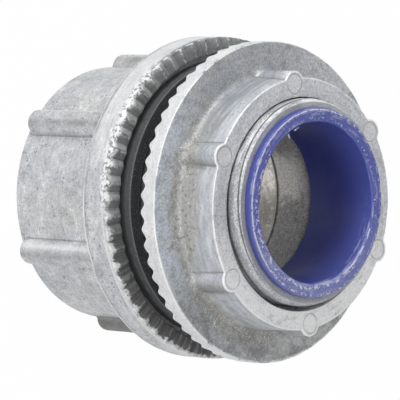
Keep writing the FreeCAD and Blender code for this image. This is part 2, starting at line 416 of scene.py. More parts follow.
mouth = [row(nut_mouth_r + 0.04, nut_coarse, boss_front - 0.03, sag)]
mouth += [row(nut_mouth_r, nut_coarse, boss_front - 0.1, sag)]
mouth += [row(nut_mouth_r, nut_coarse, boss_front - 1.2, 0.8 * sag)]
nut.strip(rows[-1], mouth[0])
nut.sheet(mouth + [row(nut_wall_r + 0.25, nut_coarse, nut_high)])
nut.sheet(threaded(nut_low, nut_high, nut_first, nut_start, nut_at)[::-1])
inner = row(17.0, nut_coarse, nut_recess)
nut.sheet([row(nut_wall_r, nut_coarse, nut_low), inner])
nut.strip(inner, rows[0])
print("lock nut:", nut.count, "points before merging")

# %% [markdown]
# ## The rubber ring and the plastic liner
# Both are plain turned shapes, so a list of (radius, height) is enough. The ring's face has fine
# moulded circles and one groove. The liner's rim is rounded, thin where it covers the nipple, and has
# four thin curls of torn plastic on it.

# %% Sealing ring and throat liner
ring = Skin()
ring_r, ring_inner_r, ring_back = 22.35, 16.6, 26.22
groove_r, groove_depth, circle_gap, circle_depth = 19.9, 0.35, 0.52, 0.012
ring_turn = round_angles(360, 0)


def ring_face(radius):
    """Height of the ring's face: a groove with sloping sides, and fine circles all over."""
    groove = groove_depth * ease(abs(radius - groove_r), 0.45, 0.15)
    return ring_front - groove - 0.015 + circle_depth * np.cos(2 * np.pi * radius / circle_gap)


outline = [(r, ring_back) for r in (ring_inner_r + 0.1, 18.5, 20.5, 22.25)]
outline += [(ring_r - 0.02, z) for z in (26.4, 27.0, 27.7, 28.4)] + arc(22.16, 28.9, 0.17, 0, 90, 4)
outline += [(r, ring_face(r)) for r in np.arange(22.05, 17.0, -0.105)]
outline += arc(ring_inner_r + 0.36, 28.74, 0.34, 90, 180, 4) + [(16.62, 27.8), (16.62, 26.5)]
ring.sheet(turned(outline + outline[:1], ring_turn))

liner = Skin()
liner_outer_r, liner_rim_r, liner_bore_r, liner_round, rim_back = 13.98, 15.05, 12.75, 0.6, 47.22
outline = [(13.0, liner_seat + 0.04), (13.9, 34.64), (liner_outer_r, 34.75), (liner_outer_r, 41.0)]
outline += [(liner_outer_r, 47.1), (liner_outer_r + 0.05, rim_back), (14.5, rim_back), (14.95, rim_back)]
outline += [(liner_rim_r - 0.02, 47.25), (liner_rim_r, 47.33), (15.03, 47.6), (15.0, 47.9), (14.96, 48.12)]
outline += [(14.92, 48.27), (14.84, 48.37), (14.72, 48.43), (14.58, liner_top), (14.3, 48.44)]
outline += [(13.95, 48.44), (13.6, liner_top)]
outline += arc(liner_bore_r + liner_round, liner_top - liner_round, liner_round, 90, 178, 9)
outline += [(liner_bore_r, z) for z in (47.4, *range(47, 35, -1), 35.2, 34.66)]
liner.sheet(turned(outline + outline[:1], ring_turn))


def curl(path, widths):
    """Rows of a thin curl of torn plastic along a path. It is closed where its width is 0."""
    path = np.array(path, float)
    ways = np.gradient(path, axis=0)
    ways /= np.linalg.norm(ways, axis=1)[:, None]
    sides = np.cross(ways, (0.3, 0.2, 1.0))
    sides /= np.linalg.norm(sides, axis=1)[:, None]
    overs = np.cross(sides, ways)
    turn = np.radians(np.arange(0, 361, 60))[:, None]
    spread = zip(path, widths, sides, overs)
    return [spot + width * (np.cos(turn) * s + np.sin(turn) * o) for spot, width, s, o in spread]


for path, widths in (
    ([(-11.3, -6.75, 48.1), (-11.0, -6.7, 48.2), (-10.7, -6.65, 48.15), (-10.3, -6.3, 48.0),
      (-9.95, -5.95, 47.9)], (0, 0.13, 0.14, 0.12, 0)),
    ([(-12.1, -5.2, 48.1), (-11.8, -5.1, 48.25), (-11.45, -5.15, 48.2), (-11.3, -5.45, 48.1)],
     (0, 0.17, 0.17, 0)),
    ([(-12.3, -4.4, 48.1), (-12.0, -4.5, 48.25), (-11.75, -4.75, 48.2), (-11.7, -5.0, 48.1)],
     (0, 0.16, 0.16, 0)),
    ([(-0.6, -13.0, 48.2), (-0.9, -12.8, 48.3), (-1.2, -12.75, 48.3), (-1.35, -12.5, 48.2)],
     (0, 0.07, 0.07, 0)),
):
    liner.sheet(curl(path, widths))
print("ring and liner:", ring.count, "and", liner.count, "points")

# %% [markdown]
# ## From skin to piece
# Each skin becomes one mesh, made a little uneven, always inwards, so that it stays inside its CAD
# solid. Two values are kept at each point for the finishes: how sharp an edge is there, which handling
# polishes, and how sharp a hollow, where the finishes paint dirt and shade. They come from the bend of
# the mesh, so no edge has to be picked by hand.

# %% Values at the points of a mesh


def lumps(points, size, seed, waves=16):
    """Smooth random unevenness of about -1 to 1, with lumps of about this size."""
    draw = np.random.default_rng(seed)
    total = np.zeros(len(points))
    for _ in range(waves):
        way = draw.standard_normal(3)
        way *= 2 * np.pi / (size * draw.uniform(0.7, 1.6) * np.linalg.norm(way))
        total += np.sin(points @ way + draw.uniform(0, 2 * np.pi))
    return np.clip(total / np.sqrt(waves), -1, 1)


def read(items, key, width):
    """A value of every item of a mesh, as an array."""
    values = np.empty(len(items) * width, np.float32 if width != 2 else np.int32)
    items.foreach_get(key, values)
    return values.reshape(-1, width)


def keep(mesh, name, values):
    """Keeps a value at each point of a mesh, for the finishes."""
    mesh.attributes.new(name, "FLOAT", "POINT").data.foreach_set("value", values.astype(np.float32))


def keep_bend(mesh):
    """Keeps edge and hollow, both from 0 to 1, at each point of a mesh in millimetres."""
    points, normals = read(mesh.vertices, "co", 3), read(mesh.vertex_normals, "vector", 3)
    ends = read(mesh.edges, "vertices", 2)
    step = points[ends[:, 1]] - points[ends[:, 0]]
    length = np.maximum((step ** 2).sum(1), 1e-6)
    bend, count = np.zeros(len(points)), np.zeros(len(points))
    for side, sign in ((0, 1), (1, -1)):
        np.add.at(bend, ends[:, side], sign * (step * normals[ends[:, side]]).sum(1) / length)
        np.add.at(count, ends[:, side], 1)
    bend /= count
    for name, value in (("edge", ease(-bend, 0.12, 1.3)), ("hollow", ease(bend, 0.1, 1.2))):
        near = np.zeros(len(points))
        for side in (0, 1):
            np.add.at(near, ends[:, side], value[ends[:, 1 - side]])
        keep(mesh, name, 0.7 * value + 0.3 * near / count)


# %% [markdown]
# ## Where the castings are marked
# Each function gives 1 where its mark is; some marks are where a highlight or shade is painted. The mesh
# keeps the value under the function's name.

# %% Marks that follow the form


def polar(points):
    """How far points are from the axis, and their angles in degrees."""
    return np.hypot(points[:, 0], points[:, 1]), np.degrees(np.arctan2(points[:, 1], points[:, 0]))


def stripe(away, width):
    """1 on a line, and less away from it."""
    return np.exp(-(away / width) ** 2)


def beside_ribs(points):
    """How far points are beside the nearest rib's middle, and whether they are on it."""
    radius, turn = polar(points)
    half = LOBE_TURN / 2
    side = radius * np.sin(np.radians((turn - rib_first + half) % LOBE_TURN - half))
    return side, (radius > socket_r + 0.15) & (points[:, 2] < flange_rear - 0.5)


def rib_seam(points):
    """1 along a darker band on each rib, beside its middle."""
    side, on_rib = beside_ribs(points)
    middle = 0.2 - 1.5 * np.sign(-points[:, 1]) * points[:, 0] / polar(points)[0]
    return stripe(side - middle, 0.5) * on_rib


def rib_shoulder(points):
    """1 along one shoulder of each rib, where a highlight is painted."""
    side, on_rib = beside_ribs(points)
    return stripe(side + 1.7, 0.3) * on_rib


def beside_ridges(points):
    """How far points are past the ridge of the flange tooth that they are on."""
    turn = polar(points)[1] - hub_first
    return np.radians(turn % pitch_angle - pitch_angle / 2) * flange_r


def tooth_ridge(points):
    """1 along the ridge of each flange tooth."""
    return stripe(beside_ridges(points) - 0.05, 0.17)


def tooth_flank(points):
    """1 on the flank of each flange tooth that bites the wall, which is painted as lit."""
    past = beside_ridges(points)
    return ease(past, -0.12, -0.3) * ease(past, -1.36, -1.25)


def lug_disc(points):
    """1 on the round mark at each lug's end."""
    return ease(from_lugs(points - (sag, 0, 0)), 1.7, 1.5) * (points[:, 2] > boss_front - 0.4)


def lug_under(points):
    """1 on the side of each lug that faces +X, away from the light, where shade is painted."""
    points = points - (sag, 0, 0)
    radius, turn = polar(points)
    middle = np.radians(lug_first + LOBE_TURN * np.round((turn - lug_first) / LOBE_TURN))
    past = points[:, 0] - lug_axis_r * np.cos(middle)
    on_lug = (radius > boss_r + 0.1) * ease(from_lugs(points), 2.9, 2.5)
    return ease(past, 0.1, 1.7) * on_lug * ease(points[:, 2], nut_front + 0.2, nut_front + 1.0)


def lug_corner(points):
    """1 on the outer corner of each lug's end, where a highlight is painted."""
    points = points - (sag, 0, 0)
    near, outside = from_lugs(points), polar(points)[0] > boss_r - 0.1
    return ease(near, 1.75, 1.9) * ease(near, 2.3, 2.15) * outside * (points[:, 2] > boss_front - 0.35)


# %% [markdown]
# ## The four pieces
# A piece rides on its body and takes the place of its CAD node. `cast` and `moulded` are unevenness in
# millimetres, and the angle in degrees from which an edge stays sharp.

# %% Pieces
cast, moulded = (0.05, 50), (0.03, 60)


def piece(name, skin, node, body, slot, uneven, sharp, marks=()):
    """One closed mesh from a skin, in metres, riding on its body in place of its CAD node."""
    mesh = bpy.data.meshes.new(name)
    mesh.from_pydata(np.concatenate(skin.points).tolist(), [], skin.faces)
    work = bmesh.new()
    work.from_mesh(mesh)
    bmesh.ops.remove_doubles(work, verts=work.verts, dist=0.002)
    bmesh.ops.dissolve_degenerate(work, edges=work.edges, dist=0.001)
    open_edges = sum(len(e.link_faces) != 2 for e in work.edges)
    volume = work.calc_volume(signed=True)
    work.to_mesh(mesh)
    work.free()
    points, normals = read(mesh.vertices, "co", 3), read(mesh.vertex_normals, "vector", 3)
    dent = 0.5 - 0.3 * lumps(points, 7, 5) - 0.2 * lumps(points, 2.4, 6)
    points -= normals * (uneven * np.clip(dent, 0, 1))[:, None]
    mesh.vertices.foreach_set("co", points.ravel())
    mesh.update()
    keep_bend(mesh)
    for mark in marks:
        keep(mesh, mark.__name__, mark(points))
    mesh.transform(Matrix.Scale(MM, 4))
    mesh.shade_smooth()
    mesh.set_sharp_from_angle(angle=np.radians(sharp))
    made = bpy.data.objects.new(name, mesh)
    scene.collection.objects.link(made)
    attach(made, body)
    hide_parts(node)
    corners = sum(len(p.vertices) - 2 for p in mesh.polygons)
    print(f"{name}: {corners} triangles, {open_edges} open edges, {volume:.0f} cubic mm")
    return made


hub_kept = (rib_seam, rib_shoulder, tooth_ridge, tooth_flank)
nut_kept = (lug_disc, lug_under, lug_corner)
hub_piece = piece("hub_casting", hub, "hub_body", "hub", "cast_zinc", *cast, hub_kept)
nut_piece = piece("lock_nut_casting", nut, "lock_nut", "nut", "cast_zinc", *cast, nut_kept)
ring_piece = piece("rubber_ring", ring, "sealing_ring", "hub", "black_rubber", *moulded)
liner_piece = piece("blue_liner", liner, "throat_liner", "hub", "blue_plastic", *moulded)

# %% [markdown]
# ## Writing a finish
# A finish is a net of nodes. Masks are easier to read as sums, so a small class wraps a node's output:
# adding or multiplying two of them adds a Math node. Every other node comes from one method, which
# takes the node's type, its settings and its inputs.

# %% Nodes as expressions


class Wire:
    """A node's output. Arithmetic on it adds Math nodes."""

    def __init__(self, nodes, socket):
        self.nodes, self.socket = nodes, socket

    def math(self, operation, *values):
        inputs = dict(zip(("Value", "Value_001"), values))
        return self.nodes.add("ShaderNodeMath", {"operation": operation}, inputs)

    def __add__(self, other):
        return self.math("ADD", self, other)

    def __sub__(self, other):
        return self.math("SUBTRACT", self, other)

    def __rsub__(self, other):
        return self.math("SUBTRACT", other, self)

    def __mul__(self, other):
        return self.math("MULTIPLY", self, other)

    __radd__, __rmul__ = __add__, __mul__

    def larger(self, other):
        return self.math("MAXIMUM", self, other)

    def off(self, value):
        """How far it is from a value, up or down."""
        return self.math("ABSOLUTE", self - value)

    def up(self, low, high):
        """0 below low, 1 above high, smooth between. Low may be the larger of the two."""
        values = {"Value": self, "From Min": low, "From Max": high}
        return self.nodes.add("ShaderNodeMapRange", {"interpolation_type": "SMOOTHSTEP"}, values)


class Nodes:
    """A node tree that is filled by one method."""

    def __init__(self, tree):
        self.tree = tree
        tree.nodes.clear()

    def add(self, kind, settings=None, values=None, output=0):
        """Adds a node and returns one of its outputs. Settings come first, then sockets."""
        node = self.tree.nodes.new(kind)
        for key, value in (settings or {}).items():
            if key == "stops":
                self.set_stops(node.color_ramp, value)
            else:
                setattr(node, key, value)
        for key, value in (values or {}).items():
            socket = self.find(node.inputs, key)
            if isinstance(value, Wire):
                self.tree.links.new(value.socket, socket)
            else:
                socket.default_value = (*value, 1) if socket.type == "RGBA" else value
        return Wire(self, self.find(node.outputs, output) if node.outputs else None)

    @staticmethod
    def find(sockets, key):
        """A socket by its number, its identifier or its name."""
        return next((s for s in sockets if s.identifier == key), None) or sockets[key]

    @staticmethod
    def set_stops(ramp, stops):
        while len(ramp.elements) < len(stops):
            ramp.elements.new(0.5)
        for element, (place, colour) in zip(ramp.elements, stops):
            element.position, element.color = place, (*colour, 1)


def new_finish(name):
    """An empty material and its nodes."""
    material = bpy.data.materials.new(name)
    material.use_nodes = True
    return material, Nodes(material.node_tree)


def surfaced(n, values):
    """Ends a finish with one surface that has these values."""
    surface = n.add("ShaderNodeBsdfPrincipled", None, values)
    n.add("ShaderNodeOutputMaterial", None, {"Surface": surface})


def mixed(n, share, first, second, blend="MIX"):
    """Two colours mixed by a share."""
    values = {"Factor_Float": share, "A_Color": first, "B_Color": second}
    return n.add("ShaderNodeMix", {"data_type": "RGBA", "blend_type": blend}, values, "Result_Color")


def coated(n, base, coats):
    """A base under coats, laid on one by one. A coat is a share and a colour."""
    for share, colour in coats:
        base = mixed(n, share, base, colour)
    return base


def bumped(n, height, depth, strength):
    """A normal bent by a height of 0 to 1 that stands for this depth in metres."""
    return n.add("ShaderNodeBump", None, {"Height": height, "Distance": depth, "Strength": strength})


# %% [markdown]
# ## What the finishes share
# Every pattern is laid out in millimetres in the piece's own space, so it keeps its size and moves with
# the piece. An image would need an unwrapped mesh; noise in space needs none and has no seams. Noise
# that is squeezed along X and Y, but not along the radius and height, is drawn out round the axis, as
# marks of turning are. A zone says where on the piece a mark lies.

# %% Patterns


class Patterns:
    """Place on the piece in millimetres, and the patterns that finishes share."""

    def __init__(self, n):
        self.n = n
        spot = n.add("ShaderNodeTexCoord", output="Object")
        self.place = n.add("ShaderNodeVectorMath", {"operation": "SCALE"}, {"Vector": spot, "Scale": 1 / MM})
        parts = n.add("ShaderNodeSeparateXYZ", None, {"Vector": self.place})
        self.x, self.y, self.z = [Wire(n, parts.socket.node.outputs[i]) for i in range(3)]
        flat = n.add("ShaderNodeCombineXYZ", None, {"X": self.x, "Y": self.y})
        self.r = n.add("ShaderNodeVectorMath", {"operation": "LENGTH"}, {"Vector": flat}, "Value")
        values = {"X": self.x * 0.14, "Y": self.y * 0.14, "Z": self.z + self.r * 0.8}
        drawn = n.add("ShaderNodeCombineXYZ", None, values)
        way = n.add("ShaderNodeVectorMath", {"operation": "NORMALIZE"}, {"Vector": flat})
        self.blotch = self.noise(0.13, 3, 0.55, 0.6)
        self.cloud = self.noise(0.5, 4, 0.6, 0.5)
        self.grain = self.noise(1.7, 3, 0.65)
        self.fine = self.noise(3.4, 2, 0.6)
        self.streak = self.noise(1.6, 4, 0.65, place=drawn)
        self.spokes = self.noise(40, 3, 0.6, place=way)

    def noise(self, scale, detail=2, roughness=0.5, distortion=0, place=None):
        """Cloudy noise, about 0 to 1. Scale is in features per millimetre."""
        values = {"Vector": place or self.place, "Scale": scale, "Detail": detail, "Roughness": roughness,
                  "Distortion": distortion}
        return self.n.add("ShaderNodeTexNoise", None, values, "Fac")

    def kept(self, name):
        """A value kept at the points of the mesh."""
        return self.n.add("ShaderNodeAttribute", {"attribute_name": name}, output="Fac")

    def zone(self, radii, *heights):
        """1 where the radius and each height have climbed from a first value to a second."""
        share = self.r.up(*radii)
        for low, high in heights:
            share = share * self.z.up(low, high)
        return share


# %% [markdown]
# ## Marks on the castings
# Marks are coats over bare metal, and some coats are painted highlights and painted shade. A coat is a
# share, made of zones and patterns, and a colour. The last value says how bare the metal stays, because its
# own edges and hollows show less where it is marked.

# %% Marks
DARK, PALE = (0.13, 0.13, 0.128), (0.86, 0.865, 0.87)


def hub_marks(p):
    """Teeth with painted shade and highlights, darker rib bands, painted highlights on rib shoulders and the
    flange's rear edge, painted shade under the ribs, a dirty throat with painted light and shade, a scraped
    nipple with a painted lit top, and how bare the rest is.
    """
    teeth = p.zone((23.3, 23.5), (26.5, 26.9))
    throat = p.zone((14.4, 14.1), (34.8, 34.5))
    collar = p.zone((17, 16.8), (44.4, 45)) * p.r.up(14.1, 14.3)
    rear_highlight = p.zone((25.4, 25.75), (22.6, 22.35))
    side = p.zone((25.85, 26), (22.6, 22.9), (26.4, 26))
    under = p.zone((25.8, 26), (22.3, 22.6), (23.2, 22.7))
    flank = p.kept("tooth_flank")
    # 1 on the upper side (-X) of the flange, where lit flanks and ridges get painted highlights; below it
    # the teeth get painted shade
    lit_side = (p.x + (p.cloud - 0.5) * 6).up(9, -1)
    upper = p.x.up(-23, -13)
    ridge = teeth * p.kept("tooth_ridge") * p.grain.up(0.4, 0.55)
    corner = p.r.up(25.85, 26) * (p.z + (p.grain - 0.5) * 0.6).up(27, 27.3)
    knocked = (p.x * -0.42 - p.y * 0.91 + (p.cloud - 0.5) * 4).up(21.8, 24.6)
    chips = p.r.up(25.2, 25.7) * (p.z + (p.cloud - 0.5) * 3).up(25.8, 26.3) * knocked
    fringe = (p.r + (p.cloud - 0.5) * 2.4 + (p.grain - 0.5) * 1.6).up(25.4, 25.7)
    fringe = fringe * p.z.up(26.2, 26.6) * p.x.up(-4, 9)
    coats = [
        # painted highlight along the flange's rear edge, stronger towards the bottom (+X)
        (rear_highlight * p.streak.up(0.4, 0.55) * (0.3 + p.x.up(-12, 4) * 0.6), PALE),
        # painted light: the flange rim is paler on its upper side (-X)
        (side * p.x.up(0, -14) * 0.45, PALE),
        (side * p.streak.up(0.5, 0.4) * 0.25, (0.4, 0.41, 0.43)),
        # painted shade: a thin darker line on the rim beside the rear edge's highlight
        (under * p.streak.up(0.42, 0.55) * 0.4, DARK),
        # teeth darkened as painted shade, less on their lit flanks and most on the lower side (+X), with a
        # painted highlight on the lit flanks above
        (teeth * (0.74 - flank * lit_side * (0.18 + 0.22 * upper)), (0.15, 0.154, 0.15)),
        (teeth * (1 - lit_side) * 0.7, (0.08, 0.08, 0.077)),
        (teeth * flank * lit_side * upper * 0.14, (0.7, 0.71, 0.7)),
        (teeth * (1 - lit_side) * p.spokes.up(0.5, 0.62) * 0.4, (0.34, 0.34, 0.335)),
        (teeth * p.spokes.up(0.48, 0.36) * 0.4, (0.07, 0.07, 0.068)),
        # ridges: worn crests, brighter on the upper side as a painted highlight
        (ridge * (0.3 + lit_side * 0.35), PALE),
        (corner * p.grain.up(0.42, 0.56) * 0.8, PALE),
        (chips * p.grain.up(0.42, 0.52) * 0.85, PALE),
        (chips * p.grain.up(0.42, 0.36) * 0.5, (0.24, 0.22, 0.18)),
        (fringe * 0.7, PALE),
    ]
    # painted shade on the ribs' lower side (+X), away from the light
    shaded_underside = p.x.up(19.5, 21.5) * p.z.up(22.2, 21.8)
    dark_band = p.kept("rib_seam")
    coats += [
        (shaded_underside * (0.65 + p.cloud * 0.5), (0.15, 0.148, 0.143)),
        # a darker band along each rib
        (dark_band * p.cloud.up(0.4, 0.62) * (0.25 + p.grain * 0.8), (0.17, 0.17, 0.168)),
        (dark_band * 0.22, (0.3, 0.3, 0.3)),
        # painted highlight on one shoulder of each rib, except on the shaded underside
        (p.kept("rib_shoulder") * (1 - shaded_underside) * 0.55, PALE),
    ]
    # painted light: lit and window are where light coming in through the socket brightens the throat and
    # relief; the rest of the throat is darkened with dirt and painted shade
    lit = (p.x + (p.cloud - 0.5) * 9).up(1.2, -1.8)
    window = lit * (p.x + (p.cloud - 0.5) * 6).up(-8, -5) * p.z.up(34.5, 29.5)
    dirt_and_shade = (1 - window * 0.85) * (0.6 + p.grain.up(0.62, 0.4) * 0.4) * (0.75 + p.blotch * 0.45)
    # painted shadow along the deep edge of the throat
    deep_edge_shadow = throat * (p.z + (p.grain - 0.5) * 0.5).up(26.5, 26.1)
    relief = p.zone((17.2, 17), (24.4, 23.4)) * p.r.up(14.5, 15)
    coats += [
        (throat * dirt_and_shade, (0.3, 0.294, 0.282)),
        (throat * window * 0.72, (0.92, 0.89, 0.83)),
        (throat * p.grain.up(0.6, 0.7) * 0.6, (0.1, 0.098, 0.095)),
        (throat * p.fine.up(0.5, 0.38) * 0.35, (0.12, 0.118, 0.114)),
        (throat * p.grain.up(0.54, 0.66) * 0.25, (0.55, 0.545, 0.53)),
        # painted shade on the throat just under the liner
        (throat * p.z.up(33.9, 34.4) * 0.8, (0.06, 0.058, 0.06)),
        (deep_edge_shadow * 0.9, (0.02, 0.019, 0.017)),
        # the relief is painted bright where lit, and painted shade elsewhere
        (relief * (0.1 + lit * 0.88), (0.97, 0.93, 0.86)),
        (relief * (1 - lit), (0.26, 0.245, 0.22)),
        (relief * p.cloud.up(0.52, 0.42) * 0.6, (0.3, 0.285, 0.25)),
        (relief * p.grain.up(0.56, 0.66) * 0.4, PALE),
        (relief * p.fine.up(0.58, 0.66) * 0.6, (0.2, 0.18, 0.15)),
    ]
    # painted light: the collar's top side (-X) is paler and its streaks brighter
    lit_top = p.x.up(2, -10)
    lip = collar * p.r.up(16, 15.8) * p.z.up(46.9, 47.1)
    # painted shade: a near-black line in the thread's groove near the tip
    turn = p.y.math("ARCTAN2", p.y, p.x) * (-0.5 / np.pi) + p.z * (1 / thread_pitch) + groove_phase
    groove = turn.math("FRACT", turn).off(0.5).up(0.07, 0.035)
    groove = groove * collar * p.z.up(45.5, 45.8) * p.z.up(47.1, 46.95)
    coats += [
        (collar * (0.85 - lit_top * 0.35), (0.34, 0.355, 0.38)),
        (collar * p.streak.up(0.48, 0.62) * (0.3 + lit_top * 0.5), PALE),
        (collar * p.streak.up(0.46, 0.36) * 0.6, (0.2, 0.205, 0.21)),
        (collar * p.fine.up(0.5, 0.62) * 0.5, PALE),
        (lip * 0.6, (0.36, 0.365, 0.39)),
        (groove * 0.8, (0.08, 0.08, 0.082)),
    ]
    return coats, 1 - teeth.larger(throat).larger(collar * 0.8) * 0.9


def nut_marks(p):
    """A pale rim whose worn front edge is painted as a highlight, a stained face with painted light, brown
    grime at the boss's foot, painted shade under the lugs and in the mouth, lugs with pale marks and painted
    highlights, and how bare the rest is.
    """
    rim = p.zone((25.1, 25.4), (35, 35.4), (37.95, 37.8))
    rim_edge_wear_and_highlight = p.zone((25.4, 25.6), (37.75, 37.9)) * p.x.up(19, 8)
    outside = p.r.up(17.6, 18.2)
    face = p.zone((25.7, 25.5), (37.7, 37.9), (38.7, 38.3)) * outside
    low_left = (p.x * 0.5 - p.y * 0.87).up(1, 13)
    ragged = p.r + (p.cloud - 0.5) * 5 + (p.blotch - 0.5) * 4
    high = p.z + (p.cloud - 0.5) * 7 + p.x.up(3, 11) * 3
    foot = ragged.up(23.2, 21.4) * outside * high.up(43.6, 39.4) * p.z.up(45, 44) * low_left
    # the face's tone, with painted light: paler towards the left (-Y) and the upper right
    tone = mixed(p.n, p.y.up(-13, -22), (0.37, 0.395, 0.43), (0.6, 0.65, 0.72))
    tone = mixed(p.n, p.y.up(2, 12) * p.x.up(-6, -14), tone, (0.6, 0.62, 0.66))
    low = p.x.up(8, 21)
    patch = p.noise(0.24, 5, 0.68, 1.2) + (p.grain - 0.5) * 0.14
    stained = (p.cloud * 0.5 + p.streak * 0.5).up(0.5, 0.6) * p.x.off(0).up(9, 15)
    coats = [
        (rim * 0.5, PALE),
        # a pale line along the nut's front edge: worn bright, and painted as a highlight that fades out
        # towards the bottom (+X)
        (rim_edge_wear_and_highlight * 0.8, PALE),
        (face * (0.8 - p.streak.up(0.52, 0.64) * 0.4), tone),
        (face * p.cloud.up(0.5, 0.36) * 0.4, (0.24, 0.24, 0.235)),
        (face * low * p.blotch.up(0.3, 0.55) * 0.48, (0.22, 0.22, 0.216)),
        (face * low * patch.up(0.48, 0.58) * 0.6, (0.16, 0.16, 0.157)),
        (face * low * patch.up(0.46, 0.38) * 0.55, (0.56, 0.565, 0.56)),
        (face * stained * 0.6, (0.42, 0.39, 0.345)),
        (face * p.grain.up(0.58, 0.66) * (0.45 + low * 0.3), (0.17, 0.165, 0.155)),
        (face * p.cloud.up(0.6, 0.66) * p.grain.up(0.45, 0.55) * low * 0.7, PALE),
    ]
    wall = p.z.up(38.6, 39.2) * outside * p.z.up(45.1, 44.9)
    cool = wall * p.z.up(44, 42) * p.blotch.up(0.2, 0.6) * p.x.up(11, 3)
    sides = outside * p.z.up(45.1, 44.9) * p.z.up(38.3, 38.8)
    coats += [
        (wall * 0.5, (0.5, 0.535, 0.59)),
        (cool * 0.8, (0.29, 0.315, 0.35)),
        (wall * p.streak.up(0.42, 0.68) * 0.34, (0.9, 0.91, 0.925)),
        (foot * (0.2 + p.grain * 0.9), (0.46, 0.442, 0.4)),
        (foot * p.grain.up(0.53, 0.62) * 0.65, (0.15, 0.14, 0.12)),
        (foot * p.fine.up(0.62, 0.7), PALE),
        # painted shade on the lugs' side away from the light
        (sides * p.kept("lug_under") * (0.25 + p.grain * 0.7), (0.26, 0.255, 0.24)),
        # brown dirt and painted shade in the hollows at the lugs' feet
        (sides * p.kept("hollow") * (0.3 + p.cloud), (0.2, 0.19, 0.165)),
    ]
    front = outside.larger(p.r.up(16.8, 17)) * p.z.up(44.85, 45)
    # painted highlight: the boss's front face is brighter towards the bottom (+X)
    low_front_highlight = p.x.up(0, 12)
    freckles = p.noise(3.1, 2, 0.6, 0.9).up(0.6, 0.66) * p.noise(0.25).up(0.4, 0.55)
    flats = face.larger(front * 0.45)
    disc = p.kept("lug_disc")
    disc_outline = disc.up(0.05, 0.3) * disc.up(0.98, 0.7)
    # painted shadow: near-black in the gap between the nut's mouth and the nipple
    mouth = p.zone((17.3, 17.1), (45.16, 45.05), (44.1, 44.6))
    coats += [
        (front * (1 - low_front_highlight) * 0.5, (0.68, 0.7, 0.75)),
        (front * low_front_highlight * 0.85, PALE),
        (front * freckles * 0.5, DARK),
        # painted highlight on the outer corners of the lugs' ends
        (p.kept("lug_corner") * p.cloud.up(0.34, 0.5) * 0.95, (0.97, 0.97, 0.97)),
        (flats * p.fine.up(0.5, 0.38) * 0.3, DARK),
        (flats * p.fine.up(0.54, 0.66) * 0.22, PALE),
        (front * p.streak.up(0.5, 0.4) * p.cloud.up(0.4, 0.6) * 0.35, (0.3, 0.3, 0.31)),
        (disc * 0.3, PALE),
        (disc_outline * (p.grain * 1.1 - 0.15), (0.2, 0.2, 0.2)),
        (mouth * 0.9, (0.02, 0.02, 0.02)),
    ]
    return coats, 1 - foot * 0.6


# %% [markdown]
# ## Die-cast zinc
# Bare zinc is light bluish grey and half dull: oxide makes it scatter light like paint, and metal still
# shines through. Its skin is mottled at four sizes and faintly streaked, with small dark pits from
# trapped gas and fine specks. Edges are rubbed bright, but not evenly, and hollows are darkened with
# grey dirt and painted shade.

# %% Zinc


def zinc(name, marks, contrast, specks):
    """The zinc of one piece, with its marks, contrast and specks."""
    material, n = new_finish(name)
    p = Patterns(n)
    tone = p.blotch * 0.2 + p.cloud * 0.28 + p.grain * 0.22 + p.fine * 0.16 + p.streak * 0.14
    tone = (tone - 0.5) * contrast + 0.5
    stops = [(0.38, (0.27, 0.28, 0.297)), (0.46, (0.46, 0.477, 0.5)), (0.53, (0.6, 0.615, 0.636)),
             (0.61, (0.82, 0.83, 0.84))]
    base = n.add("ShaderNodeValToRGB", {"stops": stops}, {"Fac": tone}, "Color")
    warm = p.noise(0.11).up(0.46, 0.62)
    base = mixed(n, warm * 0.6, base, (1, 0.975, 0.93), "MULTIPLY")
    cells = n.add("ShaderNodeTexVoronoi", None, {"Vector": p.place, "Scale": 0.45}, "Distance")
    pits = cells.up(0.12, 0.048) * p.noise(0.9).up(0.48, 0.56)
    speckle = p.noise(2.3, 2, 0.6, 0.9)
    freckles = speckle.up(0.605, 0.66) * p.noise(0.3).up(0.36, 0.54)
    uneven = p.cloud.up(0.34, 0.54) * (0.5 + p.grain)
    coats, bare = marks(p)
    base = coated(n, base, [
        ((pits * 0.75).larger(freckles * specks), DARK),
        (speckle.up(0.34, 0.28) * 0.68 * specks, PALE),
        *coats,
        # hollows darkened with grey dirt and painted shade
        (p.kept("hollow") * (0.5 + 0.5 * p.cloud) * bare, DARK),
        ((p.kept("edge") * uneven * bare).up(0.08, 0.75) * 0.85, PALE),
    ])
    height = p.cloud * 0.35 + p.grain * 0.4 + p.fine * 0.25 - pits * 0.8 - freckles * 0.3
    roughness = 0.6 - 0.22 * bare + 0.25 * p.cloud
    surfaced(n, {"Base Color": base, "Metallic": 0.45, "Roughness": roughness,
                 "Normal": bumped(n, height, 0.0002, 0.6)})
    return material


hub_piece.data.materials.append(zinc("hub_zinc", hub_marks, contrast=0.8, specks=0.7))
nut_piece.data.materials.append(zinc("nut_zinc", nut_marks, contrast=1, specks=0.88))
print("zinc nodes:", len(hub_piece.active_material.node_tree.nodes))

# %% [markdown]
# ## Rubber and blue plastic
# The ring is dark, dull neoprene with dust on it. The liner is glossy nylon. Its rim has been rubbed:
# broken whitish lines run round it, where the plastic is scuffed and scatters light. The inner one is
# widest where wires were pulled over it, and at the lower right long scuffs run on into the mouth.

# %% Rubber and blue plastic


